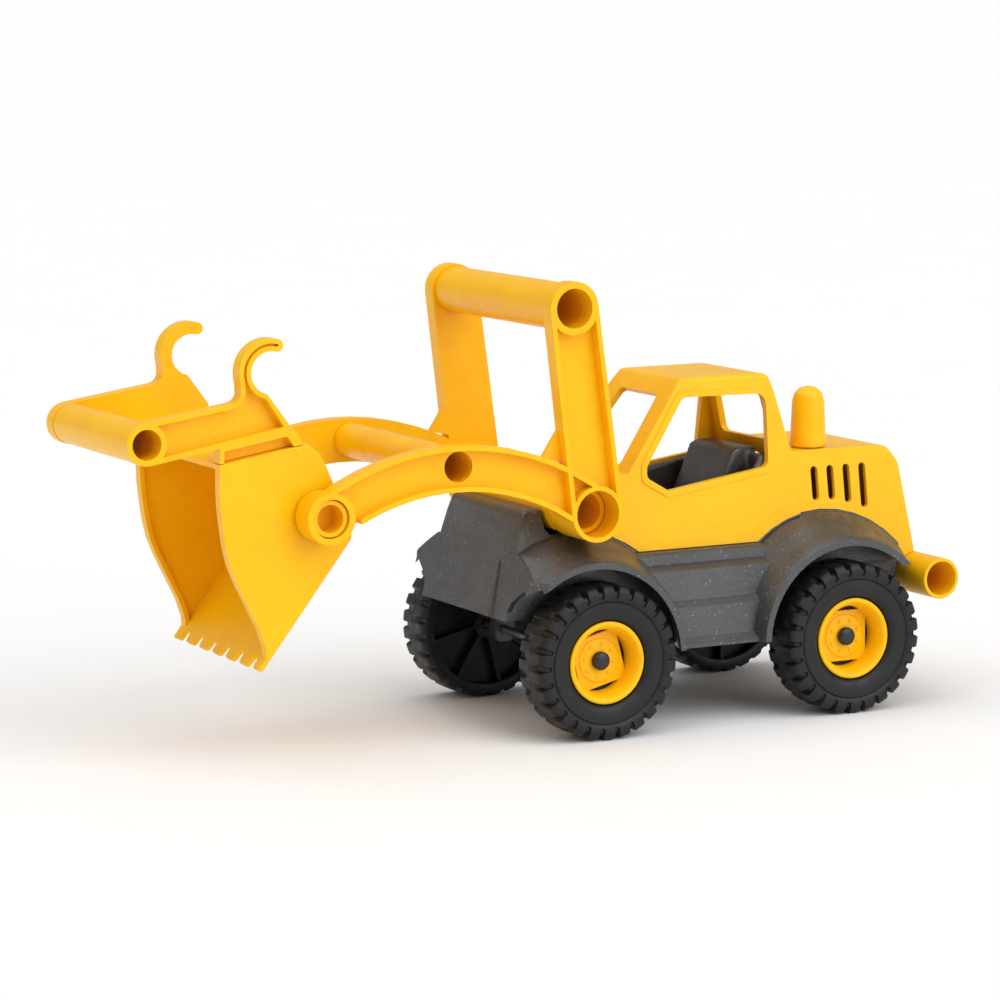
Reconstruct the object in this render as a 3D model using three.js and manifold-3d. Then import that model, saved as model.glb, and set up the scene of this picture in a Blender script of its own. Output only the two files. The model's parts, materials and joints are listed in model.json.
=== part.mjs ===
// Toy wheel loader with a front shovel: grey chassis, yellow cab, channel-section
// loader frame, hooked bucket and four road wheels.
// Millimetres, +Z up, front of the vehicle towards -X, left side towards -Y.
import * as THREE from 'three';
import { mergeVertices } from 'three/addons/utils/BufferGeometryUtils.js';
import { ConvexGeometry } from 'three/addons/geometries/ConvexGeometry.js';
import Module from 'manifold-3d';

const wasm = await Module();
wasm.setup();

// ---------------------------------------------------------------- dimensions
const FRONT_AXLE_X = 14.3;        // the model is drawn from the front axle, then shifted
const WHEELBASE = 128.9;
const AXLE_Z = 35;
const AXLE_R = 2;
const TYRE_R = 35;
const TYRE_OUT = 71.3;            // outer face of a tyre, from the centre plane
const TYRE_IN = 48.2;
const RIM_R = 18.7;
const TREAD_BLOCKS = 26;
const TREAD_DEPTH = 2.4;
const HUB_R = 4.6;
const HUB_END = 54;               // inner end of the rim's hub sleeve
const SPOKES = [0, 45, 90, 135, 180, 225, 270, 315];
const WALL = 2.5;
const FIT = 0.3;                  // clearance left between touching pieces

const ROOF_Z = 155.2;
const SIDE_AT_ROOF = 28.9;        // half width of the body at roof height
const SIDE_TAPER = 0.1325;        // widening per mm going down
const DECK_Z = 78.6;              // top of the chassis between the wheels
const HOOD_Z = 101.2;
const CHASSIS_BOTTOM = 52.9;
const ARCH_FRONT = [-2.0, 34.3];  // centres of the wheel arches
const ARCH_REAR = [130.2, 34.9];
const ARCH_TOP_R = 56.0;          // arch radius where it meets the body side
const ARCH_LIP_R = 42.4;

const PIVOT = [-1.3, 101.3];      // loader frame pivot, x and z
const PIVOT_R = 12.7;
const PIVOT_BORE = 10.65;
const STUB_R = 10.2;
const ARC = [-71.0, 13.5];        // centre of the arched loader arms
const ARC_OUT = 122.8;
const ARC_IN = 102.6;
const FRAME_OUT = 63.2;           // edge of the outward flanges
const WEB_OUT = 57.8;
const WEB_IN = 55.3;
const FLANGE = 2.2;
const HANDLE = [-12.6, 193.6];
const HANDLE_R = 11.9;
const HANDLE_BORE = 8.9;
const CROSS = [-67.8, 126.4];
const CROSS_R = 8.0;
const CROSS_BORE = 6.85;

const HINGE = [-131.3, 108.5];    // bucket hinge
const HINGE_R = 11.3;
const HINGE_BORE = 8.6;
const BUCKET_OUT = 48.2;
const BUCKET_IN = 45.5;
const HOOK_WEB_OUT = 43.2;
const HOOK_WEB_IN = 40.7;
const GRIP = [-209.7, 144.0];
const GRIP_R = 9.2;
const GRIP_BORE = 6.6;
const HOOK = [-152.1, 171.6];     // centre of the hook mouth
const HOOK_OUT = 14.8;
const HOOK_IN = 9.3;

const REAR_TUBE = [180.7, 57.9];
const REAR_TUBE_R = 9.6;
const REAR_TUBE_BORE = 7.9;
const STACK = [132.5, -22.5];     // exhaust stack, x and y
const STACK_TOP = 147.4;
const ENGINE_STEP = 0.5;          // set-in of the engine cover's sides behind the cab

const SCREW_R = 1.5;
const SCREWS = [[46, -24], [46, 24], [90, -24], [90, 24]];
const SEAT_FLOOR = 90.7;          // underside of the cabin floor
const FLOOR_TOP = 93.2;
const WELL_HALF = 28;             // half width of the cabin well
const SEAT_HALF = 20;

// ----------------------------------------------------------------- materials
const yellow = new THREE.MeshStandardMaterial({ color: 0xfdb714, roughness: 0.38, metalness: 0 });
const grey = new THREE.MeshStandardMaterial({ color: 0x4c4e50, roughness: 0.42, metalness: 0 });
const black = new THREE.MeshStandardMaterial({ color: 0x1b1b1c, roughness: 0.6, metalness: 0 });
const steel = new THREE.MeshStandardMaterial({ color: 0xb9bcc0, roughness: 0.3, metalness: 1 });

// ------------------------------------------------------------ solid modelling
function toSolid(geometry) {
  const bare = geometry.index ? geometry.toNonIndexed() : geometry.clone();
  bare.deleteAttribute('normal');
  bare.deleteAttribute('uv');
  const merged = mergeVertices(bare, 1e-4);
  const source = merged.index.array;
  const tris = [];
  for (let i = 0; i < source.length; i += 3) {
    const [a, b, c] = [source[i], source[i + 1], source[i + 2]];
    if (a !== b && b !== c && a !== c) tris.push(a, b, c);
  }
  const make = (list) => new wasm.Manifold(new wasm.Mesh({
    numProp: 3,
    vertProperties: new Float32Array(merged.attributes.position.array),
    triVerts: new Uint32Array(list),
  }));
  const solid = make(tris);
  if (solid.volume() > 0) return solid;
  const flipped = [];
  for (let i = 0; i < tris.length; i += 3) flipped.push(tris[i], tris[i + 2], tris[i + 1]);
  return make(flipped);
}

function toGeometry(solid) {
  const mesh = solid.getMesh();
  const count = mesh.vertProperties.length / mesh.numProp;
  const xyz = new Float32Array(count * 3);
  for (let i = 0; i < count; i += 1) {
    for (let k = 0; k < 3; k += 1) xyz[3 * i + k] = mesh.vertProperties[i * mesh.numProp + k];
  }
  const geometry = new THREE.BufferGeometry();
  geometry.setAttribute('position', new THREE.BufferAttribute(xyz, 3));
  geometry.setIndex(new THREE.BufferAttribute(new Uint32Array(mesh.triVerts), 1));
  geometry.computeVertexNormals();
  return geometry;
}

const join = (solids) => solids.reduce((a, b) => a.add(b));
const cut = (solid, tools) => tools.reduce((a, b) => a.subtract(b), solid);

// prism of a side-view outline [x, z] between two y planes
function prismY(outline, y0, y1) {
  const shape = new THREE.Shape(outline.map(([x, z]) => new THREE.Vector2(x, z)));
  const geometry = new THREE.ExtrudeGeometry(shape, { depth: y1 - y0, bevelEnabled: false });
  geometry.rotateX(Math.PI / 2);
  geometry.translate(0, y1, 0);
  return toSolid(geometry);
}

// prism of an end-view outline [y, z] between two x planes
function prismX(outline, x0, x1) {
  const shape = new THREE.Shape(outline.map(([y, z]) => new THREE.Vector2(y, z)));
  const geometry = new THREE.ExtrudeGeometry(shape, { depth: x1 - x0, bevelEnabled: false });
  geometry.rotateX(Math.PI / 2);
  geometry.rotateZ(Math.PI / 2);
  geometry.translate(x0, 0, 0);
  return toSolid(geometry);
}

function discY([x, z], radius, y0, y1, segments = 24) {
  const geometry = new THREE.CylinderGeometry(radius, radius, y1 - y0, segments);
  geometry.rotateY(Math.PI / segments);
  geometry.translate(x, (y0 + y1) / 2, z);
  return toSolid(geometry);
}

// solid of revolution about an axis along Y; profile points are [radius, y]
function turnedY(profile, [x, z], segments = 48) {
  const closed = [...profile, profile[0]];
  const points = closed.map(([r, y]) => new THREE.Vector2(r, y));
  const geometry = new THREE.LatheGeometry(points, segments);
  geometry.translate(x, 0, z);
  return toSolid(geometry);
}

// solid of revolution about an upright axis; profile points are [radius, z]
function turnedZ(profile, segments = 28) {
  const geometry = new THREE.LatheGeometry(profile.map(([r, z]) => new THREE.Vector2(r, z)), segments);
  geometry.rotateX(Math.PI / 2);
  return toSolid(geometry);
}

const pillar = (x, y, r, z0, z1) => turnedZ([[0, z0], [r, z0], [r, z1], [0, z1]], 16).translate([x, y, 0]);

function hull(points) {
  return toSolid(new ConvexGeometry(points.map((p) => new THREE.Vector3(...p))));
}

function box(x0, x1, y0, y1, z0, z1) {
  const geometry = new THREE.BoxGeometry(x1 - x0, y1 - y0, z1 - z0);
  geometry.translate((x0 + x1) / 2, (y0 + y1) / 2, (z0 + z1) / 2);
  return toSolid(geometry);
}

// ------------------------------------------------------------ plane outlines
function arcPoints([cx, cz], radius, from, to, steps) {
  const points = [];
  for (let i = 0; i <= steps; i += 1) {
    const t = THREE.MathUtils.degToRad(from + (to - from) * i / steps);
    points.push([cx + radius * Math.cos(t), cz + radius * Math.sin(t)]);
  }
  return points;
}

const polar = ([cx, cz], radius, degrees) => arcPoints([cx, cz], radius, degrees, degrees, 1)[0];

// polygon whose corners [x, z, r] are rounded with radius r
function rounded(corners, steps = 4) {
  const points = [];
  corners.forEach(([x, z, r = 0], i) => {
    const before = corners[(i + corners.length - 1) % corners.length];
    const after = corners[(i + 1) % corners.length];
    const here = new THREE.Vector2(x, z);
    const a = new THREE.Vector2(before[0], before[1]).sub(here).normalize();
    const b = new THREE.Vector2(after[0], after[1]).sub(here).normalize();
    const half = Math.acos(THREE.MathUtils.clamp(a.dot(b), -1, 1)) / 2;
    if (r === 0 || half > 1.5) {
      points.push([x, z]);
      return;
    }
    const middle = a.clone().add(b).normalize().multiplyScalar(r / Math.sin(half)).add(here);
    const start = a.clone().multiplyScalar(r / Math.tan(half)).add(here).sub(middle);
    const end = b.clone().multiplyScalar(r / Math.tan(half)).add(here).sub(middle);
    const sweep = Math.atan2(start.x * end.y - start.y * end.x, start.dot(end));
    for (let k = 0; k <= steps; k += 1) {
      const p = start.clone().rotateAround(new THREE.Vector2(), sweep * k / steps).add(middle);
      points.push([p.x, p.y]);
    }
  });
  return points;
}

// outline of a belt around two circles
function belt(c0, r0, c1, r1, steps = 16) {
  const axis = Math.atan2(c1[1] - c0[1], c1[0] - c0[0]);
  const spread = Math.acos((r0 - r1) / Math.hypot(c1[0] - c0[0], c1[1] - c0[1]));
  const deg = THREE.MathUtils.radToDeg;
  return [
    ...arcPoints(c0, r0, deg(axis + spread), deg(axis - spread) + 360, steps),
    ...arcPoints(c1, r1, deg(axis - spread), deg(axis + spread), steps),
  ];
}

// sector of a ring
function ringSector(centre, inner, outer, from, to, steps) {
  return [
    ...arcPoints(centre, outer, from, to, steps),
    ...arcPoints(centre, inner, to, from, steps),
  ];
}

const mirror = (solid) => solid.mirror([0, 1, 0]);

// -------------------------------------------------------------- body envelope
const sideAt = (z) => SIDE_AT_ROOF + SIDE_TAPER * (ROOF_Z - z);

// tapered block between the two body sides, set in by the given amount
function envelope(inset, z0 = 40, z1 = 170) {
  const points = [];
  for (const x of [-60, 220]) {
    for (const z of [z0, z1]) {
      for (const side of [-1, 1]) points.push([x, side * (sideAt(z) - inset), z]);
    }
  }
  return hull(points);
}

// ------------------------------------------------------------------- chassis
// line between chassis and cab, seen from the side, from front to rear
function bodyLine(drop) {
  const deg = THREE.MathUtils.radToDeg;
  const frontEnd = deg(Math.asin((DECK_Z - ARCH_FRONT[1]) / ARCH_TOP_R));
  const rearStart = 180 - deg(Math.asin((DECK_Z - ARCH_REAR[1]) / ARCH_TOP_R));
  return [
    ...arcPoints(ARCH_FRONT, ARCH_TOP_R - drop, 84, frontEnd, 4),
    ...arcPoints(ARCH_REAR, ARCH_TOP_R - drop, rearStart, 42, 9),
  ];
}

// flared wheel arch, points [y, radius]: shoulder at the body, neck, raised lip
const FLARE = [
  [36.0, 56.0], [38.4, 55.2], [42.0, 54.4], [50.0, 50.4], [57.0, 47.7], [62.0, 46.6], [64.4, 45.4],
];
const ARCH_STEPS = 36;

function archSolids(centre) {
  const outer = [...FLARE.map(([y, r]) => [r, y]), [ARCH_LIP_R - 2, 64.4], [30, 36.0]];
  const inner = [
    [53.4, 35.0], [52.8, 38.2], [51.8, 41.4], [47.9, 49.4], [45.2, 56.4], [44.1, 62.0],
    [ARCH_LIP_R, 62.4], [ARCH_LIP_R, 68], [20, 68], [20, 35],
  ];
  return [turnedY(outer, centre, ARCH_STEPS), turnedY(inner, centre, ARCH_STEPS)];
}

// sloping front of the hood, bottom and top corner in side view
const HOOD_FRONT = [[-37.7, CHASSIS_BOTTOM], [-24.6, HOOD_Z]];

function hoodFrontAt(z) {
  const [[x0, z0], [x1, z1]] = HOOD_FRONT;
  return [x0 + (x1 - x0) * (z - z0) / (z1 - z0), z];
}

// end view of the hood's front wall where it widens into a fender, on the +Y side
const NOSE = rounded([
  [36, 82.4], [41, 82.2], [50, 76.9], [58.8, 71.0, 1.6], [51, 66.2, 3], [44.2, 61.6, 5],
  [41.3, 55.5, 4], [41.3, 53.2], [36, 53.2],
]);

// slanted block that trims the outer front corner of a fender
function fenderNose() {
  const corners = [];
  for (const z of [40, 100]) corners.push([-50, 56.5, z], [-33.4, 56.5, z], [-22.0, 70, z], [-50, 70, z]);
  return hull(corners);
}

// stepped side skirt, end view on the +Y side
const SKIRT = [
  [38, 78.6], [43.6, 78.2], [45.2, 77.2], [45.6, 72.9], [51.4, 70.4], [52.6, 57.0],
  [56.2, 54.2], [57.2, 40.6], [60.6, 37.7],
];

function skirtSolids() {
  const outer = [...SKIRT, [60.6, 36.2], [38, 36.2]];
  const inner = [...SKIRT.map(([y, z]) => [y - 2.4, z - 2.0]), [58.2, 30], [34, 30], [34, 76.4]];
  return [prismX(outer, 20, 108), prismX(inner, 20, 108)];
}

function chassisSolid() {
  const outline = rounded([
    [...HOOD_FRONT[0], 0], [...HOOD_FRONT[1], 3.2], [-14.9, HOOD_Z, 1.2], [-14.9, 92.6, 0],
    [-12.6, 89.8, 0], [-8.6, 87.9, 0], ...bodyLine(0).slice(1).map(([x, z]) => [x, z, 0]),
    [168.0, CHASSIS_BOTTOM, 0],
  ]);
  const hollow = [
    [-34.9, 40], [-34.9, CHASSIS_BOTTOM], [-23.0, 96.6], [-20.6, 98.6], [-17.4, 98.6],
    [-17.4, 87.6], [-12.6, 86.0], ...bodyLine(WALL).slice(1), [165.6, 66.0], [165.6, 40],
  ];
  const core = prismY(outline, -60, 60).intersect(envelope(0, 50));
  const coreHollow = prismY(hollow, -60, 60).intersect(envelope(WALL, 36));
  const shells = [core];
  const hollows = [coreHollow];
  const endWalls = [];
  const frontWall = prismY([
    hoodFrontAt(50), hoodFrontAt(90), ...[90, 50].map(hoodFrontAt).map(([x, z]) => [x + WALL, z]),
  ], -70, 70);
  for (const side of [1, -1]) {
    const place = (solid) => (side > 0 ? solid : mirror(solid));
    const [frontArch, frontWell] = archSolids(ARCH_FRONT);
    const [rearArch, rearWell] = archSolids(ARCH_REAR);
    const [skirt, skirtHollow] = skirtSolids();
    const frontKeep = cut(prismY([hoodFrontAt(62), hoodFrontAt(97), [20, 97], [60, 70], [60, 36.2],
      [20, 36.2], [0, 60], [-20, 66.6]], 30, 70), [fenderNose()]);
    const rearKeep = prismY([[72, 36.2], [72, 70], [112, 97], [150, 97], [172, 76], [171.5, 66.0],
      [150, 66.0], [130, 60], [108, 36.2]], 30, 70);
    shells.push(place(frontArch.intersect(frontKeep)));
    shells.push(place(rearArch.intersect(rearKeep)));
    shells.push(place(skirt));
    const wellSides = box(-80, 220, 44.4, 90, -20, 100);
    hollows.push(place(frontWell.intersect(wellSides)));
    hollows.push(place(rearWell.intersect(wellSides)));
    hollows.push(place(discY(ARCH_FRONT, ARCH_LIP_R, 44.4, 70, ARCH_STEPS)));
    hollows.push(place(discY(ARCH_REAR, ARCH_LIP_R, 44.4, 70, ARCH_STEPS)));
    const wells = [
      frontArch, rearArch, discY(ARCH_FRONT, ARCH_LIP_R + WALL, 30, 70, ARCH_STEPS),
      discY(ARCH_REAR, ARCH_LIP_R + WALL, 30, 70, ARCH_STEPS),
    ];
    hollows.push(place(cut(skirtHollow, wells)));
    endWalls.push(place(prismX(NOSE, -45, -20).intersect(frontWall)));
  }
  let body = join([cut(join(shells), hollows), ...endWalls]);
  // hangers that carry the two axles
  const hangers = [];
  for (const x of [0, WHEELBASE]) {
    for (const side of [1, -1]) {
      const y = side * 34;
      const top = x === 0 ? 88.4 : 88.8;
      hangers.push(prismY([[x - 7, top], [x - 5, AXLE_Z - 3], [x - 3, AXLE_Z - 5.5],
        [x + 3, AXLE_Z - 5.5], [x + 5, AXLE_Z - 3], [x + 7, top]], y - 2.5, y + 2.5));
    }
  }
  body = join([body, ...hangers]);
  const bores = [0, WHEELBASE].map((x) => discY([x, AXLE_Z], AXLE_R + FIT, -60, 60, 16));
  const screwHoles = SCREWS.map(([x, y]) => pillar(x, y, SCREW_R + FIT, 70, 90));
  // raised wedge rib on the left of the hood front
  const rib = hull([
    [-37.6, -22.2, 53.2], [-37.6, -29.0, 53.2], [-38.8, -23.2, 53.2], [-38.8, -28.0, 53.2],
    [-34.0, -22.2, 53.2], [-34.0, -29.0, 53.2], [-31.3, -25.2, 77.9], [-29.5, -25.2, 77.9],
  ]);
  const pivotRoom = [-1, 1].map((side) => discY(PIVOT, PIVOT_R + 0.8, 54 * side - 15, 54 * side + 15));
  return cut(join([body, rib]), [...bores, ...screwHoles, ...pivotRoom]);
}

// grey cabin liner: side walls that follow the window sill, a sunken floor and a backrest,
// divided into its floor, walls and backrest
const LINER_TOP = [FLOOR_TOP + FIT, 130];
const LINER_PARTS = {
  cabin_floor: [30, 120, -60, 60, 60, FLOOR_TOP],
  cabin_front: [30, 60, FIT - WELL_HALF, WELL_HALF - FIT, ...LINER_TOP],
  seat_back: [75, 120, FIT - WELL_HALF, WELL_HALF - FIT, ...LINER_TOP],
  cabin_side_right: [30, 120, WELL_HALF, 60, ...LINER_TOP],
  cabin_side_left: [30, 120, -60, -WELL_HALF, ...LINER_TOP],
};

function linerSolid() {
  const liner = prismY([[38.5, 79.0], [38.5, 99.6], [48.5, 102.9], [98.0, 111.2], [101.4, 117.6],
    [105.5, 117.6], [106.5, 87.0], [94.0, 78.95]], -60, 60).intersect(envelope(3.2));
  const backrest = prismY([[80, 92], [82.1, FLOOR_TOP], [92.9, 118.6], [97, 120.4], [105.5, 120.4],
    [105.5, 92]], -SEAT_HALF, SEAT_HALF);
  const well = box(44, 101.4, -WELL_HALF, WELL_HALF, FLOOR_TOP, 140);
  const below = box(41, 101, -29, 29, 60, SEAT_FLOOR);
  const insideBack = prismY([[84.6, 90], [95.2, 116.4], [98, 117.9], [103, 117.9], [103, 90]],
    WALL - SEAT_HALF, SEAT_HALF - WALL);
  const bosses = SCREWS.map(([x, y]) => pillar(x, y, 3.6, 79.0, SEAT_FLOOR + 1));
  const holes = SCREWS.map(([x, y]) => pillar(x, y, SCREW_R + FIT, 70, 88.0));
  return cut(join([cut(join([cut(liner, [well]), backrest]), [below, insideBack]), ...bosses]), holes);
}

function screwSolid() {
  return turnedZ([[0, 73.6], [3, 73.6], [3, 75.8], [SCREW_R, 75.8], [SCREW_R, 86.0], [0, 87.6]], 12);
}

// ----------------------------------------------------------------------- cab
const WINDSHIELD_FOOT = [29.9, 114.0];
const ROOF_FRONT = [60.2, ROOF_Z];

function cabSolid() {
  const barrel = arcPoints(PIVOT, PIVOT_R, 228, 90, 9);
  const lower = bodyLine(-FIT).reverse();
  const upper = rounded([
    [...WINDSHIELD_FOOT, 0], [...ROOF_FRONT, 3.5], [107.2, ROOF_Z, 4], [116.4, 118.6, 3],
    [168.0, 118.6, 7], [174.6, 110.4, 10], [182.2, 56.0, 0], [172.2, 56.0, 0],
  ], 4);
  const outline = [...barrel, ...upper, ...lower];
  const cavity = [
    [14.5, 60], [14.5, 111.2], [31.4, 111.2], [61.7, 152.4], [104.8, 152.4], [113.8, 115.8],
    [165.8, 115.8], [171.6, 109.4], [179.0, 58.9], [174, 40], [20, 40],
  ];
  const shell = prismY(outline, -60, 60).intersect(envelope(0));
  const hollow = prismY(cavity, -60, 60).intersect(envelope(2.8, 36, 170));
  const sideWindow = prismY(rounded([
    [60.6, 146.8, 4], [104.6, 146.3, 5], [103.6, 112.7, 4], [50.2, 105.0, 3], [39.2, 111.6, 3],
    [39.6, 116.6, 2],
  ]), -60, 60);
  const slope = new THREE.Vector2(ROOF_FRONT[0] - WINDSHIELD_FOOT[0], ROOF_FRONT[1] - WINDSHIELD_FOOT[1]);
  const length = slope.length();
  slope.normalize();
  const screen = rounded([[-22.5, 2.6, 3], [22.5, 2.6, 3], [17.6, length - 9.6, 3],
    [-17.6, length - 9.6, 3]]);
  const screenCut = new THREE.ExtrudeGeometry(
    new THREE.Shape(screen.map(([a, b]) => new THREE.Vector2(a, b))),
    { depth: 16, bevelEnabled: false },
  );
  screenCut.applyMatrix4(new THREE.Matrix4().makeBasis(
    new THREE.Vector3(0, -1, 0),
    new THREE.Vector3(slope.x, 0, slope.y),
    new THREE.Vector3(-slope.y, 0, slope.x),
  ));
  screenCut.translate(WINDSHIELD_FOOT[0] + 8 * slope.y, 0, WINDSHIELD_FOOT[1] - 8 * slope.x);
  const rearWindow = prismX(rounded([[-22.5, 123.0, 3], [22.5, 123.0, 3], [20.6, 146.6, 3],
    [-20.6, 146.6, 3]]), 96, 128);
  const tools = [hollow, sideWindow, toSolid(screenCut), rearWindow];
  const slots = [[128.5, 95.2], [137.2, 94.9], [146.0, 93.0], [154.7, 90.2]];
  for (const [x, z] of slots) {
    tools.push(prismY([...arcPoints([x - 0.1, 109.2], 1.9, 180, 0, 6),
      ...arcPoints([x + 0.1, z + 1.9], 1.9, 0, -180, 6)], -60, 60));
  }
  const rearSeat = discY(REAR_TUBE, REAR_TUBE_R + FIT, -80, 80, 28);
  const shellCut = cut(shell, [...tools, rearSeat]);
  // raised border round each side window
  const border = rounded([
    [58.6, 149.6, 5], [107.2, 149.0, 6], [106.0, 110.3, 5], [49.6, 102.1, 4], [36.4, 110.0, 4],
    [36.8, 117.4, 3],
  ]);
  const frame = cut(prismY(border, -60, 60), [sideWindow])
    .intersect(cut(envelope(-0.5), [envelope(0.4)]));
  // raised band along the lower edge, up to the crease between cab and engine cover
  const band = prismY([...bodyLine(-FIT), ...bodyLine(-5).reverse()], -60, 60)
    .intersect(box(19.5, 119, -60, 60, 60, 120))
    .intersect(cut(envelope(-0.7), [envelope(0.4)]));
  const engineSide = cut(prismY([[116.6, 124], [119.3, 93], [119.3, 50], [200, 50], [200, 124]], -60, 60),
    [envelope(ENGINE_STEP, 20, 170)]);
  const stubs = [-1, 1].map((side) => discY(PIVOT, STUB_R, side > 0 ? 30 : -50, side > 0 ? 50 : -30));
  const bore = discY(PIVOT, 8.2, -70, 70);
  return cut(join([cut(shellCut, [engineSide]), frame, band, ...stubs]), [bore]);
}

function stackSolid() {
  return turnedZ([[0, 118.9], [8.5, 118.9], [7.6, 139.8], [6.6, 144.0], [3.6, 146.8], [0, STACK_TOP]], 24)
    .translate([...STACK, 0]);
}

// ------------------------------------------------------------- loader frame
function sideFrame() {
  const whole = (outline) => prismY(outline, WEB_IN, FRAME_OUT);
  const armOuter = ringSector(ARC, ARC_IN, ARC_OUT, 51.6, 116.5, 13);
  const armFront = ringSector(ARC, ARC_IN + FLANGE, ARC_OUT, 116.5, 122.4, 1);
  const lever = belt(PIVOT, PIVOT_R, HANDLE, HANDLE_R, 12);
  const gusset = prismY([[-18.2, 140.0], [-26.5, 127.4], [-10, 124]], WEB_IN, WEB_OUT);
  const solids = [
    whole(armOuter), whole(armFront), whole(lever), gusset,
    discY(HINGE, HINGE_R, 49.9, FRAME_OUT),
    discY(PIVOT, PIVOT_R, 39.6, FRAME_OUT),
  ];
  const pocket = (outline) => prismY(outline, WEB_OUT, FRAME_OUT + 1);
  const armPocket = pocket(ringSector(ARC, ARC_IN + FLANGE, ARC_OUT - FLANGE, 52, 123.5, 14));
  const leverPocket = pocket(belt(PIVOT, PIVOT_R - FLANGE, HANDLE, HANDLE_R - FLANGE, 8));
  const armBand = pocket(ringSector(ARC, ARC_IN - 20, ARC_OUT, 40, 80, 8));
  const rings = [
    discY(HINGE, HINGE_R, WEB_OUT - 1, 70),
    discY(PIVOT, PIVOT_R, WEB_OUT - 1, 70),
    discY(HANDLE, HANDLE_R, WEB_OUT - 1, 70),
  ];
  const pockets = [
    cut(armPocket, [...rings, pocket(lever)]),
    cut(armPocket.intersect(leverPocket), rings),
    cut(leverPocket, [...rings, armBand]),
  ];
  const bores = [
    discY(HINGE, HINGE_BORE, 40, 70),
    discY(PIVOT, PIVOT_BORE, 30, 70),
    discY(HANDLE, HANDLE_BORE, 40, 70),
    discY(CROSS, CROSS_BORE, 40, 70),
  ];
  return cut(join(solids), [...pockets, ...bores]);
}

function tube(centre, outer, bore, half, segments = 24) {
  return cut(discY(centre, outer, -half, half, segments), [discY(centre, bore, -half - 1, half + 1, segments)]);
}

// -------------------------------------------------------------------- bucket
const LIP_FRONT = [
  [-156.3, 48.0], [-156.5, 52.2], [-159.3, 60.4], [-162.6, 67.2], [-165.9, 74.1], [-169.6, 81.6],
  [-172.6, 89.1], [-174.6, 97.6], [-175.8, 106.6], [-176.7, 115.0], [-176.9, 123.9], [-176.6, 133.2],
];
const BUCKET_TOP = [[-176.6, 133.2], [-134.8, 139.8], [-128.6, 134.6], [-113.5, 99.2]];
const TOOTH_TIP = [-158.6, 41.7];
const TOOTH_PITCH = 15.1;
const TOOTH_SLOT_R = 3.1;
const TOOTH_DEPTH = 5.9;
const TOOTH_ROUND = 2.0;

function bucketSolid() {
  const [front, rearTop, back, heel] = BUCKET_TOP;
  const outline = [
    ...rounded([[...front, 0], [...rearTop, 3.5], [...back, 8], [...heel, 8], [...TOOTH_TIP, 0]], 5),
    [-160.2, 42.9], ...LIP_FRONT.slice(0, -1),
  ];
  const hollow = rounded([
    [-240, 121.1, 0], [-135.4, 137.6, 3], [-130.2, 133.2, 7], [-115.9, 99.6, 6],
    [-160.2, 42.9, 0], [-190, 5, 0], [-240, 5, 0],
  ], 5);
  const shell = cut(prismY(outline, -BUCKET_OUT, BUCKET_OUT), [prismY(hollow, -BUCKET_IN, BUCKET_IN)]);
  const rim = [...LIP_FRONT, ...LIP_FRONT.slice().reverse().map(([x, z]) => [x + 2.1, z + 0.4])];
  const parts = [shell];
  for (const side of [1, -1]) {
    const [y0, y1] = side > 0 ? [HOOK_WEB_OUT, BUCKET_OUT] : [-BUCKET_OUT, -HOOK_WEB_OUT];
    parts.push(prismY(rim, y0, y1).intersect(prismY(outline, -60, 60)));
    const [s0, s1] = side > 0 ? [46.6, 61.6] : [-61.6, -46.6];
    parts.push(discY(HINGE, 8.1, s0, s1));
  }
  const along = new THREE.Vector3(TOOTH_TIP[0] - heel[0], 0, TOOTH_TIP[1] - heel[1]).normalize();
  const across = new THREE.Vector3(0, 1, 0);
  const tilt = new THREE.Matrix4().makeBasis(across, along, across.clone().cross(along));
  const corner = [TOOTH_SLOT_R + TOOTH_ROUND, TOOTH_DEPTH - TOOTH_SLOT_R - TOOTH_ROUND];
  const slot = new THREE.Shape([
    ...arcPoints([0, 0], TOOTH_SLOT_R, 180, 360, 8), ...arcPoints(corner, TOOTH_ROUND, 180, 90, 3),
    [corner[0], 12], [-corner[0], 12], ...arcPoints([-corner[0], corner[1]], TOOTH_ROUND, 90, 0, 3),
  ].map(([a, b]) => new THREE.Vector2(a, b)));
  const tools = [discY(HINGE, 6.2, 50.5, 70, 24), discY(HINGE, 6.2, -70, -50.5, 24)];
  for (let i = 0; i < 6; i += 1) {
    const geometry = new THREE.ExtrudeGeometry(slot, { depth: 12, bevelEnabled: false });
    geometry.translate(0, TOOTH_SLOT_R - TOOTH_DEPTH, -6);
    geometry.applyMatrix4(tilt);
    geometry.translate(TOOTH_TIP[0], (i - 2.5) * TOOTH_PITCH, TOOTH_TIP[1]);
    tools.push(toSolid(geometry));
  }
  return cut(join(parts), tools);
}

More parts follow.
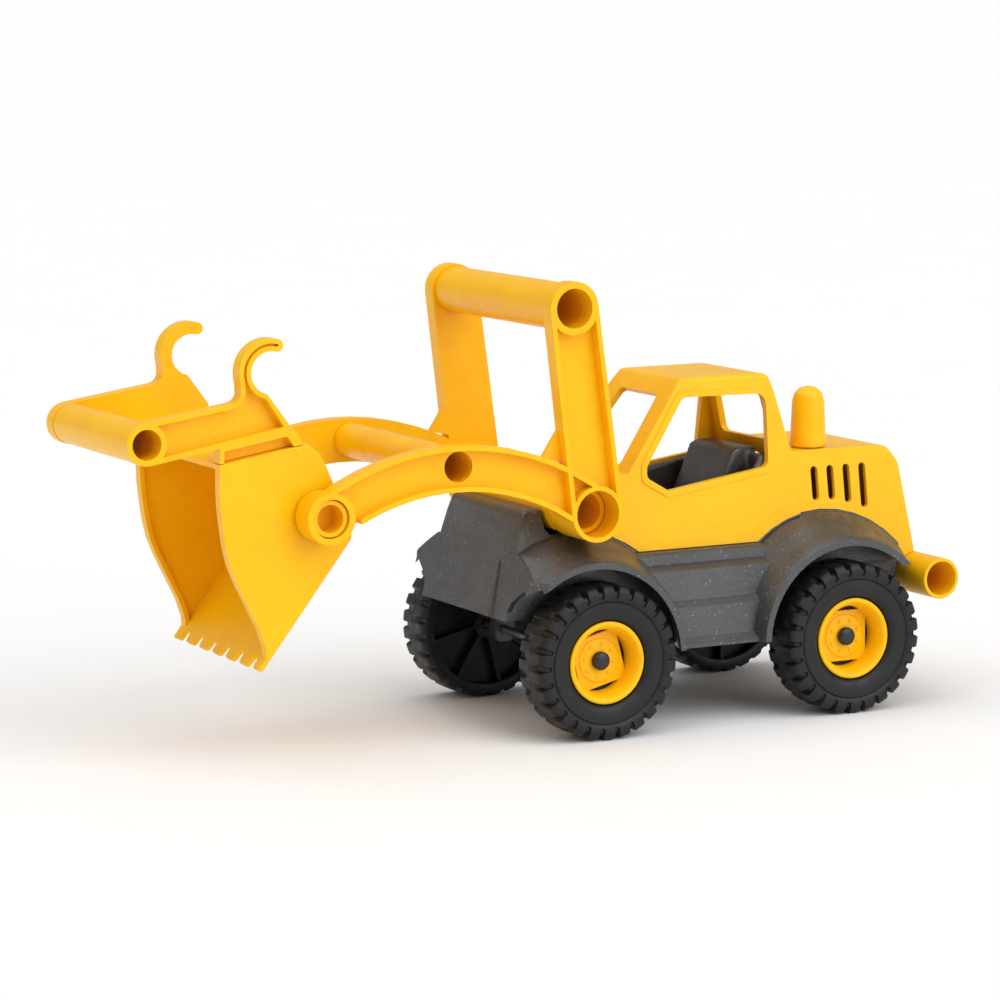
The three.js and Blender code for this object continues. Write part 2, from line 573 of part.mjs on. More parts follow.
function hookArm() {
  const tipAngle = 74.6;
  const tip = polar(HOOK, (HOOK_OUT + HOOK_IN) / 2, tipAngle);
  const tipR = (HOOK_OUT - HOOK_IN) / 2;
  // outline from the grip ring along the top edge, round the hook and back, set in by f
  const outline = (f) => [
    ...arcPoints(GRIP, GRIP_R - f, -80.5, -261.5, 12),
    ...arcPoints([-170.9, 163.9], 4.8 + f, -82, -12, 4),
    ...arcPoints(HOOK, HOOK_OUT - f, 196, tipAngle, 12),
    ...arcPoints(tip, tipR - f, tipAngle, tipAngle - 180, 6).slice(1, -1),
    ...arcPoints(HOOK, HOOK_IN + f, tipAngle, 258, 12),
    [-144.0 - 1.2 * f, 148.9 - 0.3 * f],
    [-144.2 - 1.2 * f, 145.6 + f],
  ];
  const foot = [[-176.3, 133.55], [-137.4, 139.7], [-141.0, 146.0], [-144.6, 148.2], [-176.3, 141.2]];
  const pocket = cut(prismY(outline(FLANGE), HOOK_WEB_OUT, 60), [discY(GRIP, GRIP_R, 30, 60)]);
  const footPocket = prismY([[-174.4, 130.0], [-174.4, 138.9], [-144.9, 143.6], [-138.6, 134.6]],
    HOOK_WEB_OUT, 60);
  const solids = [prismY(outline(0), HOOK_WEB_IN, BUCKET_OUT), prismY(foot, HOOK_WEB_IN, BUCKET_OUT)];
  // the channel gets shallower where it turns into the hook
  const hookFloor = prismY(ringSector(HOOK, HOOK_IN + 1, HOOK_OUT - 1, tipAngle, 222, 14), 40, 60)
    .intersect(prismX([[HOOK_WEB_IN, 150], [HOOK_WEB_OUT, 150], [HOOK_WEB_OUT, 163], [46.0, 168],
      [46.0, 190], [HOOK_WEB_IN, 190]], -170, -130));
  const open = cut(join(solids), [pocket, footPocket]);
  return cut(join([open, hookFloor]), [discY(GRIP, GRIP_BORE, 30, 60, 24)]);
}

// -------------------------------------------------------------------- wheels
function tyreSolid() {
  const middle = (TYRE_OUT + TYRE_IN) / 2;
  const row = (turn, y0, y1) => {
    const points = [];
    for (let i = 0; i < TREAD_BLOCKS; i += 1) {
      for (const [part, r] of [[0, TYRE_R], [0.6, TYRE_R], [0.8, TYRE_R - TREAD_DEPTH]]) {
        points.push(polar([0, 0], r, 360 * (i + turn + part) / TREAD_BLOCKS));
      }
    }
    return prismY(points, y0, y1);
  };
  // seat for the rim, and the hollow inner side with its hub sleeve and spokes
  const rimSeat = turnedY([
    [0, 57.8], [RIM_R - 1.2, 57.8], [RIM_R - 1.2, 67.6], [RIM_R + FIT, 67.6], [RIM_R + 2.2, 72], [0, 72],
  ], [0, 0], 22);
  const innerHollow = turnedY([[6.4, 40], [28.6, 40], [28.6, 55.6], [6.4, 55.6]], [0, 0], 22);
  const hub = discY([0, 0], HUB_R + FIT, HUB_END - FIT, 60, 16);
  const axleHole = discY([0, 0], AXLE_R + 0.7, 40, 60, 16);
  const sleeveEnd = discY([0, 0], 6.4, 40, 50.4, 22);
  const spokes = SPOKES.map((turn) => box(7, 29, -0.8, 0.8, 0, 5.2).rotate([90, 0, 0])
    .translate([0, 55.9, 0]).rotate([0, turn, 0]));
  const blocks = join([row(0, TYRE_IN, middle), row(0.5, middle, TYRE_OUT)]);
  return cut(join([cut(blocks, [rimSeat, innerHollow]), ...spokes]), [hub, axleHole, sleeveEnd]);
}

function rimSolid() {
  const rim = turnedY([
    [RIM_R, 67.9], [RIM_R, 68.6], [17.2, 69.2], [14.6, 66.2], [14.2, 60.4], [2.4, 60.4], [2.4, HUB_END],
    [HUB_R, HUB_END], [HUB_R, 58.2], [15.6, 58.2], [17.2, 67.9],
  ], [0, 0], 22);
  const slot = prismY(arcPoints([0, 0], 13.9, -36, 36, 6), 57, 61);
  return cut(rim, [0, 90, 180, 270].map((turn) => slot.rotate([0, turn, 0])));
}

function capSolid() {
  return turnedY([[0, 61.8], [4.2, 61.8], [4.2, 63.6], [3.2, 64.6], [0, 64.9]], [0, 0], 16);
}

// ------------------------------------------------------------------ assembly
const loader = new THREE.Group();
loader.position.x = FRONT_AXLE_X;

function add(name, solid, material, x = 0, z = 0, turn = 0) {
  const mesh = new THREE.Mesh(toGeometry(solid), material);
  mesh.name = name;
  mesh.position.set(x, 0, z);
  mesh.rotation.y = THREE.MathUtils.degToRad(turn);
  loader.add(mesh);
}

add('chassis_shell', chassisSolid(), grey);
const liner = linerSolid();
for (const [name, extent] of Object.entries(LINER_PARTS)) {
  add(name, liner.intersect(box(...extent)), grey);
}
add('cab_shell', cabSolid(), yellow);
add('rear_tube', tube(REAR_TUBE, REAR_TUBE_R, REAR_TUBE_BORE, 63.2, 28), yellow);

add('exhaust_stack', stackSolid(), yellow);
SCREWS.forEach(([x, y], i) => add(`deck_screw_${i + 1}`, screwSolid().translate([x, y, 0]), steel));

const frameSide = sideFrame();
add('loader_side_right', frameSide, yellow);
add('loader_side_left', mirror(frameSide), yellow);
add('handle_tube', tube(HANDLE, 10.6, HANDLE_BORE, WEB_IN - FIT), yellow);
add('cross_tube', tube(CROSS, CROSS_R, CROSS_BORE, WEB_IN - FIT), yellow);

const hook = hookArm();
add('bucket_shell', bucketSolid(), yellow);
add('hook_arm_right', hook, yellow);
add('hook_arm_left', mirror(hook), yellow);
add('grip_tube', tube(GRIP, 8.9, GRIP_BORE, HOOK_WEB_IN - FIT), yellow);

const tyre = tyreSolid();
const rim = rimSolid();
const cap = capSolid();
const corners = [['front', 0], ['rear', WHEELBASE]];
for (const [end, x] of corners) {
  for (const side of ['left', 'right']) {
    const turn = { front: -14, rear: 0 }[end];
    const pick = (solid) => (side === 'right' ? solid : mirror(solid));
    add(`tyre_${end}_${side}`, pick(tyre), black, x, AXLE_Z, turn);
    add(`rim_${end}_${side}`, pick(rim), yellow, x, AXLE_Z, turn);
    add(`axle_cap_${end}_${side}`, pick(cap), black, x, AXLE_Z);
  }
  add(`axle_${end}`, discY([0, 0], AXLE_R, -61.4, 61.4, 20), steel, x, AXLE_Z);
}

export default loader;
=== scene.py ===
"""Toy wheel loader: moulded finish, detailed wheels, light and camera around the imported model."""

import json
import math

import bmesh
import bpy
from mathutils import Matrix, Vector


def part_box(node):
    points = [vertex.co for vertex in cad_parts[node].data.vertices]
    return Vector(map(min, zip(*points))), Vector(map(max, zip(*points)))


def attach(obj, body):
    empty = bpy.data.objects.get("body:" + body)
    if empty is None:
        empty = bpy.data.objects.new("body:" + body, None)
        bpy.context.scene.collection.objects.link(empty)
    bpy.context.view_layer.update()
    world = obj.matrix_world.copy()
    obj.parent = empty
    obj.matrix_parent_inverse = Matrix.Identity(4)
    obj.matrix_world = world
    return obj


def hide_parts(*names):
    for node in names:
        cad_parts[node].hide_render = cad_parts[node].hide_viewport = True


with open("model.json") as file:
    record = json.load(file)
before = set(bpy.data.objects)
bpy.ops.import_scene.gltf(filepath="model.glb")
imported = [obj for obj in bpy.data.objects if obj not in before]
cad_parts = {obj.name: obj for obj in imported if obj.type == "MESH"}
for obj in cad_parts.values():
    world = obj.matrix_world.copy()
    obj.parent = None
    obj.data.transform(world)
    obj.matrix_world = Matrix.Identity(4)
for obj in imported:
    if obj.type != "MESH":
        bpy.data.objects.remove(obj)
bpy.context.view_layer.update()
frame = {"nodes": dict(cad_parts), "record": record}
NODES = frame["nodes"]
MM = 0.001

# ---------------------------------------------------------------- materials
SPECK_CORE = 0.6  # share of a speck's radius that has its full colour


class Shader:
    """A principled material and short calls that add nodes to it."""

    def __init__(self, name):
        self.material = bpy.data.materials.new(name)
        self.material.use_nodes = True
        self.tree = self.material.node_tree
        self.surface = self.tree.nodes["Principled BSDF"]
        self.place = self.add("ShaderNodeTexCoord").outputs["Object"]

    def add(self, kind, **values):
        node = self.tree.nodes.new(kind)
        for key, value in values.items():
            setattr(node, key, value)
        return node

    def join(self, source, target):
        self.tree.links.new(source, target)

    def noise(self, scale, detail=3.0, roughness=0.55):
        node = self.add("ShaderNodeTexNoise")
        node.inputs["Scale"].default_value = scale
        node.inputs["Detail"].default_value = detail
        node.inputs["Roughness"].default_value = roughness
        self.join(self.place, node.inputs["Vector"])
        return node.outputs["Fac"]

    def band(self, source, low, high, bottom=0.0, top=1.0):
        node = self.add("ShaderNodeMapRange")
        node.inputs["From Min"].default_value = low
        node.inputs["From Max"].default_value = high
        node.inputs["To Min"].default_value = bottom
        node.inputs["To Max"].default_value = top
        self.join(source, node.inputs["Value"])
        return node.outputs["Result"]

    def mix(self, factor, a, b):
        node = self.add("ShaderNodeMix", data_type="RGBA")
        self.join(factor, node.inputs["Factor"])
        for socket, value in ((node.inputs["A"], a), (node.inputs["B"], b)):
            if isinstance(value, tuple):
                socket.default_value = (*value, 1.0)
            else:
                self.join(value, socket)
        return node.outputs["Result"]

    def specks(self, scale, size, share):
        """1 inside round specks, which fill that share of the cells of a grid, else 0."""
        cells = self.add("ShaderNodeTexVoronoi")
        cells.inputs["Scale"].default_value = scale
        self.join(self.place, cells.inputs["Vector"])
        near = self.band(cells.outputs["Distance"], size, size * SPECK_CORE)
        pick = self.add("ShaderNodeSeparateColor")
        self.join(cells.outputs["Color"], pick.inputs["Color"])
        chosen = self.add("ShaderNodeMath", operation="LESS_THAN")
        self.join(pick.outputs["Red"], chosen.inputs[0])
        chosen.inputs[1].default_value = share
        both = self.add("ShaderNodeMath", operation="MULTIPLY")
        self.join(near, both.inputs[0])
        self.join(chosen.outputs[0], both.inputs[1])
        return both.outputs[0]

    def bump(self, height, strength, distance):
        node = self.add("ShaderNodeBump")
        node.inputs["Strength"].default_value = strength
        node.inputs["Distance"].default_value = distance
        self.join(height, node.inputs["Height"])
        self.join(node.outputs["Normal"], self.surface.inputs["Normal"])

    def finish(self, colour, roughness):
        self.join(colour, self.surface.inputs["Base Color"])
        self.join(roughness, self.surface.inputs["Roughness"])
        return self.material


def yellow_plastic():
    shader = Shader("yellow_plastic")
    shader.surface.inputs["Specular IOR Level"].default_value = 0.24
    flow = shader.band(shader.noise(34, detail=4), 0.35, 0.65)
    base = shader.mix(flow, (0.95, 0.495, 0.002), (1.0, 0.535, 0.003))
    streak = shader.band(shader.noise(150, detail=4), 0.55, 0.8, top=0.4)
    base = shader.mix(streak, base, (0.9, 0.45, 0.002))
    dark = shader.specks(scale=190, size=0.07, share=0.05)
    speckled = shader.mix(dark, base, (0.42, 0.15, 0.006))
    rough = shader.band(shader.noise(95, detail=5), 0.3, 0.7, bottom=0.26, top=0.38)
    shader.bump(shader.noise(420), strength=0.14, distance=0.0005)
    return shader.finish(speckled, rough)


def grey_plastic():
    shader = Shader("grey_plastic")
    shader.surface.inputs["Specular IOR Level"].default_value = 1.0
    flow = shader.band(shader.noise(45, detail=4), 0.35, 0.65)
    base = shader.mix(flow, (0.0235, 0.0245, 0.0255), (0.036, 0.0385, 0.041))
    layers = (  # scale, size, share and colour of each kind of speck
        (760, 0.28, 0.5, (0.095, 0.103, 0.108)),
        (430, 0.19, 0.34, (0.2, 0.215, 0.225)),
        (240, 0.1, 0.12, (0.34, 0.36, 0.36)),
        (310, 0.13, 0.09, (0.17, 0.095, 0.035)),
        (200, 0.11, 0.08, (0.008, 0.008, 0.008)),
    )
    for scale, size, share, colour in layers:
        base = shader.mix(shader.specks(scale, size, share), base, colour)
    rough = shader.band(shader.noise(140, detail=5), 0.3, 0.7, bottom=0.3, top=0.46)
    shader.bump(shader.noise(520), strength=0.22, distance=0.0005)
    return shader.finish(base, rough)


def tyre_black():
    shader = Shader("tyre_black")
    shader.surface.inputs["Specular IOR Level"].default_value = 0.4
    dust = shader.band(shader.noise(120, detail=5), 0.5, 0.8)
    base = shader.mix(dust, (0.0055, 0.0055, 0.006), (0.012, 0.0112, 0.0105))
    rough = shader.band(shader.noise(210, detail=4), 0.3, 0.7, bottom=0.4, top=0.55)
    shader.bump(shader.noise(900, detail=2), strength=0.12, distance=0.0003)
    return shader.finish(base, rough)


def cap_black():
    shader = Shader("cap_black")
    base = shader.mix(shader.noise(300), (0.012, 0.012, 0.0125), (0.018, 0.018, 0.018))
    rough = shader.band(shader.noise(400), 0.3, 0.7, bottom=0.34, top=0.46)
    shader.bump(shader.noise(1500, detail=2), strength=0.1, distance=0.0002)
    return shader.finish(base, rough)


def steel():
    shader = Shader("steel")
    shader.surface.inputs["Metallic"].default_value = 1.0
    base = shader.mix(shader.noise(500), (0.42, 0.42, 0.43), (0.58, 0.58, 0.59))
    rough = shader.band(shader.noise(800, detail=5), 0.3, 0.7, bottom=0.26, top=0.42)
    shader.bump(shader.noise(2500, detail=2), strength=0.08, distance=0.0001)
    return shader.finish(base, rough)


MATERIALS = {
    "yellow_plastic": yellow_plastic(),
    "grey_plastic": grey_plastic(),
    "tyre_black": tyre_black(),
    "cap_black": cap_black(),
    "steel": steel(),
}
SLOT_OF = {part["node"]: part["material_slot"] for part in frame["record"]["subparts"]}
BODY_OF = {
    node: body
    for body, members in frame["record"]["behaviour"]["bodies"].items()
    for node in members
}

# ----------------------------------------------------------------- mesh tools
SHARP = 24.0  # degrees from which an edge is sharp
WIDE_FROM = 40.0  # degrees from which an edge may have the wide rounding
FLAT_WITHIN = 0.4  # degrees within which two facets are one flat face
WELD = 0.002 * MM
SLIVER = 0.01 * MM
EDGE_STEPS = 3
WIDE_STEPS = 4


def new_piece(name, mesh, body, slot, *replaced):
    """A new object that takes its body, finish slot and the CAD nodes it stands for."""
    piece = bpy.data.objects.new(name, mesh)
    bpy.context.scene.collection.objects.link(piece)
    mesh.materials.clear()
    mesh.materials.append(MATERIALS[slot])
    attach(piece, body)
    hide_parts(*replaced)
    return piece


def smooth_by_angle(piece, degrees):
    """Smooth shading, with edges sharper than that angle kept crisp."""
    mesh = piece.data
    work = bmesh.new()
    work.from_mesh(mesh)
    for face in work.faces:
        face.smooth = True
    limit = math.radians(degrees)
    for edge in work.edges:
        edge.smooth = len(edge.link_faces) == 2 and edge.calc_face_angle(0) < limit
    work.to_mesh(mesh)
    work.free()


def rounding(piece, name, radius, limit, segments):
    """Rounds the sharp edges (limit ANGLE) or the weighted ones (limit WEIGHT)."""
    bevel = piece.modifiers.new(name, "BEVEL")
    bevel.width = radius
    bevel.segments = segments
    bevel.limit_method = limit
    bevel.angle_limit = math.radians(SHARP)
    bevel.use_clamp_overlap = limit == "ANGLE"
    bevel.harden_normals = limit == "ANGLE"


def moulded(node, radius, wide=None, wide_edges=None):
    """The CAD node as a moulding: flat facets joined, edges rounded, chosen ones more widely."""
    mesh = NODES[node].data.copy()
    work = bmesh.new()
    work.from_mesh(mesh)
    bmesh.ops.remove_doubles(work, verts=work.verts, dist=WELD)
    flat = math.radians(FLAT_WITHIN)
    bmesh.ops.dissolve_limit(work, angle_limit=flat, verts=work.verts, edges=work.edges)
    bmesh.ops.dissolve_degenerate(work, edges=work.edges, dist=SLIVER)
    if wide:
        weight = work.edges.layers.float.new("bevel_weight_edge")
        least = math.radians(WIDE_FROM)
        for edge in work.edges:
            bends = len(edge.link_faces) == 2 and edge.calc_face_angle(0) > least
            if bends and all(wide_edges(vert.co / MM) for vert in edge.verts):
                edge[weight] = 1.0
    work.to_mesh(mesh)
    work.free()
    piece = new_piece(f"{node}_moulding", mesh, BODY_OF[node], SLOT_OF[node], node)
    smooth_by_angle(piece, SHARP)
    if wide:
        rounding(piece, "wide edges", wide, "WEIGHT", WIDE_STEPS)
    rounding(piece, "rounded edges", radius, "ANGLE", EDGE_STEPS)


# The wide roundings, in mm: x is measured from the front axle and z from the ground.
FRONT_AXLE = (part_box("axle_front")[0][0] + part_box("axle_front")[1][0]) / 2 / MM
ROOF_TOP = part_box("cab_shell")[1][2] / MM
ROOF_HALF_WIDTH = 28.9
SIDE_TAPER = 0.1325
SIDE_MARGIN = 0.15
ROOF_FROM_Z = 150.5
COVER_FROM_X, COVER_FROM_Z = 121, 105
TAIL_FROM_X, TAIL_FROM_Z = 173, 75
HOOD_TO_X, HOOD_FROM_Z = -14, 84
BUCKET_SIDE, BUCKET_MARGIN = 48.2, 0.05
BUCKET_FROM_X, BUCKET_FROM_Z = -173.5, 97


def on_body_side(point):
    """Whether the point lies on the body's side walls, which taper towards the roof."""
    half_width = ROOF_HALF_WIDTH + SIDE_TAPER * (ROOF_TOP - point.z)
    return abs(abs(point.y) - half_width) < SIDE_MARGIN


def cab_edges(point):
    """Roof, engine cover and tail edges of the cab."""
    x = point.x - FRONT_AXLE
    roof = point.z > ROOF_FROM_Z
    cover = x > COVER_FROM_X and point.z > COVER_FROM_Z
    tail = x > TAIL_FROM_X and point.z > TAIL_FROM_Z
    return on_body_side(point) and (roof or cover or tail)


def hood_edges(point):
    """Upper side edges of the hood."""
    x = point.x - FRONT_AXLE
    return on_body_side(point) and x < HOOD_TO_X and point.z > HOOD_FROM_Z


def bucket_edges(point):
    """Upper side edges of the bucket's back."""
    x = point.x - FRONT_AXLE
    on_side = abs(abs(point.y) - BUCKET_SIDE) < BUCKET_MARGIN
    return on_side and point.z > BUCKET_FROM_Z and x > BUCKET_FROM_X


EDGE_RADII = {  # mm
    "rear_tube": 0.5,
    "exhaust_stack": 1.2,
    "loader_side_left": 0.45,
    "loader_side_right": 0.45,
    "handle_tube": 0.3,
    "cross_tube": 0.3,
    "hook_arm_left": 0.4,
    "hook_arm_right": 0.4,
    "grip_tube": 0.4,
}
for part, edge_mm in EDGE_RADII.items():
    moulded(part, edge_mm * MM)
moulded("cab_shell", 0.5 * MM, 1.7 * MM, cab_edges)
moulded("chassis_shell", 0.4 * MM, 1.6 * MM, hood_edges)
moulded("bucket_shell", 0.4 * MM, 1.4 * MM, bucket_edges)

LINER = ("cabin_floor", "cabin_front", "seat_back", "cabin_side_left", "cabin_side_right")


def cabin_liner():
    """The five nodes of the cabin liner as one soft-edged moulding."""
    work = bmesh.new()
    for part in LINER:
        work.from_mesh(NODES[part].data)
    mesh = bpy.data.meshes.new("cabin_liner")
    work.to_mesh(mesh)
    work.free()
    piece = new_piece("cabin_liner_moulding", mesh, "chassis", "grey_plastic", *LINER)
    merged = piece.modifiers.new("one body", "REMESH")
    merged.mode = "VOXEL"
    merged.voxel_size = 0.9 * MM
    merged.use_smooth_shade = True
    soft = piece.modifiers.new("soft edges", "SMOOTH")
    soft.factor = 0.5
    soft.iterations = 5


cabin_liner()

# --------------------------------------------------------------------- wheels
# In mm: r is measured from the wheel's axis and y from the middle of the toy.
BLOCKS = 26
STEPS_PER_BLOCK = 18
TYRE_R = 35.0
TREAD_MIDDLE = 59.75
TREAD_HALF_FLAT = 0.7
TREAD_OUTER, TREAD_INNER = 66.6, 52.9
GROOVE_END = 29.6
INNER_GROOVE_END = 33.4
GROOVE_DEPTH = 2.3
GROOVE_DEPTH_AT_END = 1.1
GROOVE_DEEPENS = (31.0, 34.6)
GROOVE_HALF_WIDTH = 1.05
GROOVE_FLARE = 0.35
GROOVE_FLARES = (32.5, 34.5)
GROOVE_WALL = 0.56
GROOVE_LEANS = (32.0, 34.8)
INWARD_SHARE = 0.25
MIDDLE_SHARE = 0.12
MIDDLE_BAND = (2.0, 7.5)
SHOULDER_SPACING = 0.6
CROWN_SPACING = 1.2
SPOKES = 8
SPOKE_LOW, SPOKE_HIGH = (6.0, 50.8, -0.8), (29.0, 56.0, 0.8)
PLATE_R = 14.6
PLATE_SIDE = 11.7
PLATE_BACK = 58.2
BOLTS = 8
BOLT_CIRCLE_R = 7.4
BOLT_SIDES = 6
RIM_STEPS = 96
CAP_STEPS = 48
WHEEL_WELD = 0.001


def curve(points, steps=3):
    """A smooth line through points (r, y), with that many steps between each two."""
    line = []
    for i in range(len(points) - 1):
        p0 = Vector(points[max(i - 1, 0)])
        p1, p2 = Vector(points[i]), Vector(points[i + 1])
        p3 = Vector(points[min(i + 2, len(points) - 1)])
        for k in range(steps):
            t = k / steps
            line.append(0.5 * (
                2 * p1 + (p2 - p0) * t + (2 * p0 - 5 * p1 + 4 * p2 - p3) * t * t
                + (3 * p1 - p0 - 3 * p2 + p3) * t ** 3
            ))
    line.append(Vector(points[-1]))
    return [tuple(p) for p in line]


def even(points, spacing):
    """The same line with extra points, none further apart than the spacing."""
    line = []
    for (r0, y0), (r1, y1) in zip(points, points[1:]):
        count = max(1, math.ceil(math.hypot(r1 - r0, y1 - y0) / spacing))
        line += [(r0 + (r1 - r0) * k / count, y0 + (y1 - y0) * k / count) for k in range(count)]
    return line + [points[-1]]


def turned(work, profile, steps, shape=None, centre=(0.0, 0.0)):
    """Adds a solid of revolution about Y; shape(r, y, angle) may move each point."""
    rings = []
    for i in range(steps):
        angle = 2 * math.pi * i / steps
        ring = []
        for r, y in profile:
            if shape:
                r, y = shape(r, y, angle)
            place = (centre[0] + r * math.cos(angle), y, centre[1] + r * math.sin(angle))
            ring.append(work.verts.new(place))
        rings.append(ring)
    for i, ring in enumerate(rings):
        after = rings[(i + 1) % steps]
        for k, vert in enumerate(ring):
            n = (k + 1) % len(ring)
            work.faces.new((vert, ring[n], after[n], after[k]))


def step(value, low, high):
    """A smooth rise from 0 at low to 1 at high."""
    t = min(max((value - low) / (high - low), 0.0), 1.0)
    return t * t * (3 - 2 * t)


def tread(r, y, angle):
    """Cuts the grooves between the blocks, two staggered rows that run down over the shoulders."""
    outer_row = y > TREAD_MIDDLE
    if r < (GROOVE_END if outer_row else INNER_GROOVE_END):
        return r, y
    pitch = 2 * math.pi / BLOCKS
    phase = angle / pitch + (0.0 if outer_row else 0.5)
    away = abs(phase - round(phase)) * pitch * r
    round_end = min((r - GROOVE_END) / GROOVE_HALF_WIDTH, 1.0)
    half = GROOVE_HALF_WIDTH * math.sqrt(1 - (1 - round_end) ** 2)
    half += GROOVE_FLARE * step(r, *GROOVE_FLARES)
    deeper = (GROOVE_DEPTH - GROOVE_DEPTH_AT_END) * step(r, *GROOVE_DEEPENS)
    cut = (GROOVE_DEPTH_AT_END + deeper) * step(half + GROOVE_WALL / 2 - away, 0.0, GROOVE_WALL)
    cut *= MIDDLE_SHARE + (1 - MIDDLE_SHARE) * step(abs(y - TREAD_MIDDLE), *MIDDLE_BAND)
    lean = step(r, *GROOVE_LEANS)
    sideways = -cut * (1 - lean) * (1 if outer_row else -1)
    return r - cut * (INWARD_SHARE + (1 - INWARD_SHARE) * lean), y + sideways


def tyre_profile():
    """The tyre's closed section as points (r, y), from the rim seat over the tread and back."""
    sidewall = [(19.0, 67.7), (19.7, 68.9), (21.0, 69.9), (23.6, 70.45), (27.3, 70.55)]
    groove = [(27.6, 70.2), (27.9, 70.6)]
    shoulder = [(29.2, 71.15), (31.2, 71.3), (33.0, 71.0), (34.3, 70.1), (34.85, 68.6)]
    shoulder += [(TYRE_R, TREAD_OUTER)]
    middle = (TREAD_MIDDLE + TREAD_HALF_FLAT, TREAD_MIDDLE - TREAD_HALF_FLAT)
    crown = [(TYRE_R, y) for y in (TREAD_OUTER, *middle, TREAD_INNER)]
    inner = [(TYRE_R, TREAD_INNER), (34.85, 50.9), (34.3, 49.4), (33.0, 48.5), (31.2, 48.2)]
    inner += [(29.6, 48.25)]
    hollow = [(28.6, 48.7), (28.6, 55.6), (6.4, 55.6), (6.4, 50.4)]
    sleeve = [(2.7, 50.4), (2.7, 53.7), (4.9, 53.7), (4.9, 57.8)]
    seat = [(17.5, 57.8), (17.5, 67.5)]
    top = even(curve(shoulder), SHOULDER_SPACING)[:-1]
    top += even(crown, CROWN_SPACING)[:-1]
    top += even(curve(inner), SHOULDER_SPACING)
    return curve(sidewall) + groove + top + hollow + sleeve + seat


def bar(work, low, high, angle):
    """Adds a straight bar given by its corners, turned about the wheel's axis."""
    turn = Matrix.Rotation(angle, 4, "Y")
    result = bmesh.ops.create_cube(work, size=1.0)
    for vert in result["verts"]:
        place = [a + (b - a) * (c + 0.5) for a, b, c in zip(low, high, vert.co)]
        vert.co = turn @ Vector(place)


def rim_plate(r, y, angle):
    """Square hub plate with rounded corners, made from a round one."""
    if r < PLATE_R:
        return r, y
    near = abs((angle + math.pi / 4) % (math.pi / 2) - math.pi / 4)
    return min(PLATE_R, PLATE_SIDE / math.cos(near)), y


def fill_tyre(work):
    """Tyre with its tread, and the spokes in its hollow inner side."""
    turned(work, tyre_profile(), BLOCKS * STEPS_PER_BLOCK, tread)
    for i in range(SPOKES):
        bar(work, SPOKE_LOW, SPOKE_HIGH, 2 * math.pi * i / SPOKES)


def fill_rim(work):
    """Rim: a dished ring, the hub plate with its sleeve, and the bolts."""
    lip = [(18.6, 67.9), (18.7, 68.5), (18.2, 69.05), (17.2, 69.1), (16.3, 68.5)]
    dish = curve(lip + [(15.2, 66.6), (14.5, 64.2), (14.2, 60.6), (14.1, PLATE_BACK)])
    turned(work, dish + [(15.8, PLATE_BACK), (17.2, 62.0), (17.3, 67.9)], RIM_STEPS)
    sleeve = [(2.4, 54.0), (4.6, 54.0), (4.6, PLATE_BACK)]
    plate = [(PLATE_R, PLATE_BACK), (PLATE_R, 60.3), (10.6, 60.4)]
    boss = [(10.2, 60.5), (9.9, 60.9), (9.4, 61.1), (2.4, 61.1)]
    turned(work, sleeve + plate + boss, RIM_STEPS, rim_plate)
    bolt = [(0, 60.9), (0.95, 60.9), (0.8, 61.5), (0.35, 61.8), (0, 61.85)]
    for i in range(BOLTS):
        angle = 2 * math.pi * (i + 0.5) / BOLTS
        spot = (BOLT_CIRCLE_R * math.cos(angle), BOLT_CIRCLE_R * math.sin(angle))
        turned(work, bolt, BOLT_SIDES, centre=spot)


def fill_cap(work):
    """Domed cap on the axle's end."""
    dome = curve([(4.2, 63.0), (4.0, 63.7), (3.2, 64.4), (1.8, 64.8), (0.0, 64.9)])
    turned(work, [(0, 61.8), (4.2, 61.8)] + dome, CAP_STEPS)


def wheel_piece(node, fill, turn, sharp):
    """One wheel part about the wheel's own axis, moved and mirrored to where its CAD node lies."""
    low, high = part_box(node)
    side = 1 if low[1] > 0 else -1
    work = bmesh.new()
    fill(work)
    bmesh.ops.remove_doubles(work, verts=work.verts, dist=WHEEL_WELD)
    turning = Matrix.Rotation(math.radians(turn), 4, "Y")
    axis = Vector(((low[0] + high[0]) / 2, 0.0, (low[2] + high[2]) / 2))
    for vert in work.verts:
        spot = turning @ vert.co
        spot.y *= side
        vert.co = spot * MM + axis
    bmesh.ops.recalc_face_normals(work, faces=work.faces)
    mesh = bpy.data.meshes.new(f"{node}_detail")
    work.to_mesh(mesh)
    work.free()
    piece = new_piece(f"{node}_detail", mesh, BODY_OF[node], SLOT_OF[node], node)
    smooth_by_angle(piece, sharp)


WHEEL_PARTS = (("tyre", fill_tyre, 38), ("rim", fill_rim, 32), ("axle_cap", fill_cap, 40))
for end, turn in (("front", -14), ("rear", 0)):
    for side in ("left", "right"):
        for part, fill, sharp in WHEEL_PARTS:
            wheel_piece(f"{part}_{end}_{side}", fill, turn, sharp)

for part, thing in NODES.items():
    if SLOT_OF[part] == "steel":
        thing.data.materials.clear()
        thing.data.materials.append(MATERIALS["steel"])

# ---------------------------------------------------- floor, light and camera
FLOOR_HALF = 90.0  # m
SKY_LIGHT = 0.42
SKY_SEEN = 1.0


def floor():
    """White floor that runs out of every view."""
    mesh = bpy.data.meshes.new("floor")
    corners = [(-FLOOR_HALF, -FLOOR_HALF), (FLOOR_HALF, -FLOOR_HALF)]
    corners += [(FLOOR_HALF, FLOOR_HALF), (-FLOOR_HALF, FLOOR_HALF)]
    mesh.from_pydata([(x, y, 0.0) for x, y in corners], [], [(0, 1, 2, 3)])
    piece = bpy.data.objects.new("floor", mesh)
    bpy.context.scene.collection.objects.link(piece)
    shader = Shader("floor_paper")
    tone = shader.mix(shader.noise(3), (0.9, 0.9, 0.9), (0.915, 0.915, 0.915))
    rough = shader.band(shader.noise(20), 0.3, 0.7, bottom=0.75, top=0.85)
    mesh.materials.append(shader.finish(tone, rough))


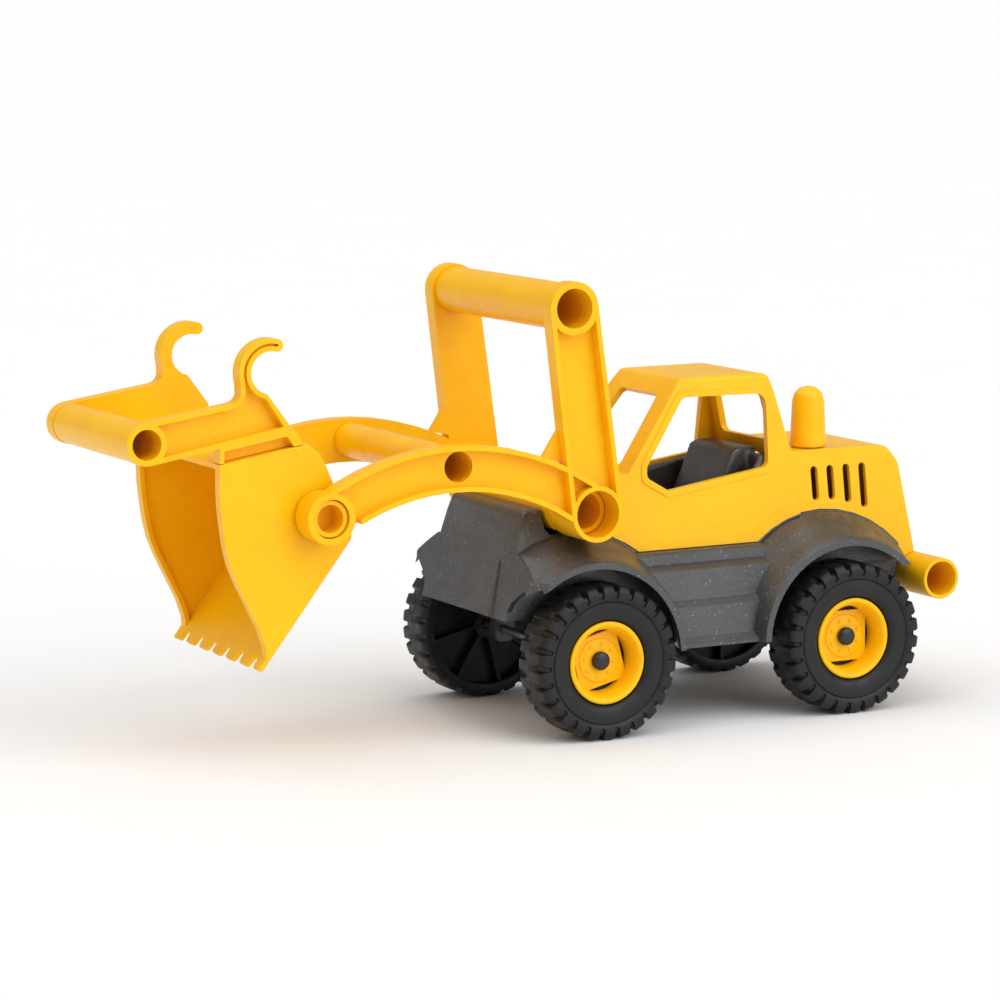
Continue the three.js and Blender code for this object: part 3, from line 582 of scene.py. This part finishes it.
def sun(name, source, strength, spread):
    """A broad soft light that shines from the direction source; spread is its size in degrees."""
    light = bpy.data.lights.new(name, "SUN")
    light.energy = strength
    light.angle = math.radians(spread)
    holder = bpy.data.objects.new(name, light)
    bpy.context.scene.collection.objects.link(holder)
    holder.rotation_euler = Vector(source).to_track_quat("Z", "Y").to_euler()


def studio():
    """White surroundings that light the object softly, and two broad lamps."""
    world = bpy.data.worlds.new("studio")
    bpy.context.scene.world = world
    world.use_nodes = True
    tree = world.node_tree
    sky = tree.nodes["Background"]
    sky.inputs["Color"].default_value = (1.0, 1.0, 1.0, 1.0)
    seen = tree.nodes.new("ShaderNodeLightPath")
    strength = tree.nodes.new("ShaderNodeMapRange")
    strength.inputs["To Min"].default_value = SKY_LIGHT
    strength.inputs["To Max"].default_value = SKY_SEEN
    tree.links.new(seen.outputs["Is Camera Ray"], strength.inputs["Value"])
    tree.links.new(strength.outputs["Result"], sky.inputs["Strength"])
    sun("key", (0.42, -0.85, 0.62), strength=1.55, spread=58)
    sun("top", (-0.35, -0.05, 1.0), strength=1.5, spread=85)


def camera():
    """The view from the front left, set by its angles, distance and lens."""
    azimuth, elevation, roll = map(math.radians, (-26.988, 7.993, -0.437))
    distance = 1.7896
    target = Vector((-0.0038, 0.0, 0.1013))
    back = Vector((
        math.sin(azimuth) * math.cos(elevation),
        -math.cos(azimuth) * math.cos(elevation),
        math.sin(elevation),
    ))
    across = Vector((math.cos(azimuth), math.sin(azimuth), 0.0))
    upward = back.cross(across)
    right = math.cos(roll) * across + math.sin(roll) * upward
    up = math.cos(roll) * upward - math.sin(roll) * across
    data = bpy.data.cameras.new("camera")
    data.lens = 141.05
    data.sensor_width = 36.0
    holder = bpy.data.objects.new("camera", data)
    bpy.context.scene.collection.objects.link(holder)
    turn = Matrix((right, up, back)).transposed()
    holder.matrix_world = Matrix.Translation(target + back * distance) @ turn.to_4x4()
    bpy.context.scene.camera = holder


floor()
studio()
camera()
bpy.context.scene.view_settings.view_transform = "Standard"
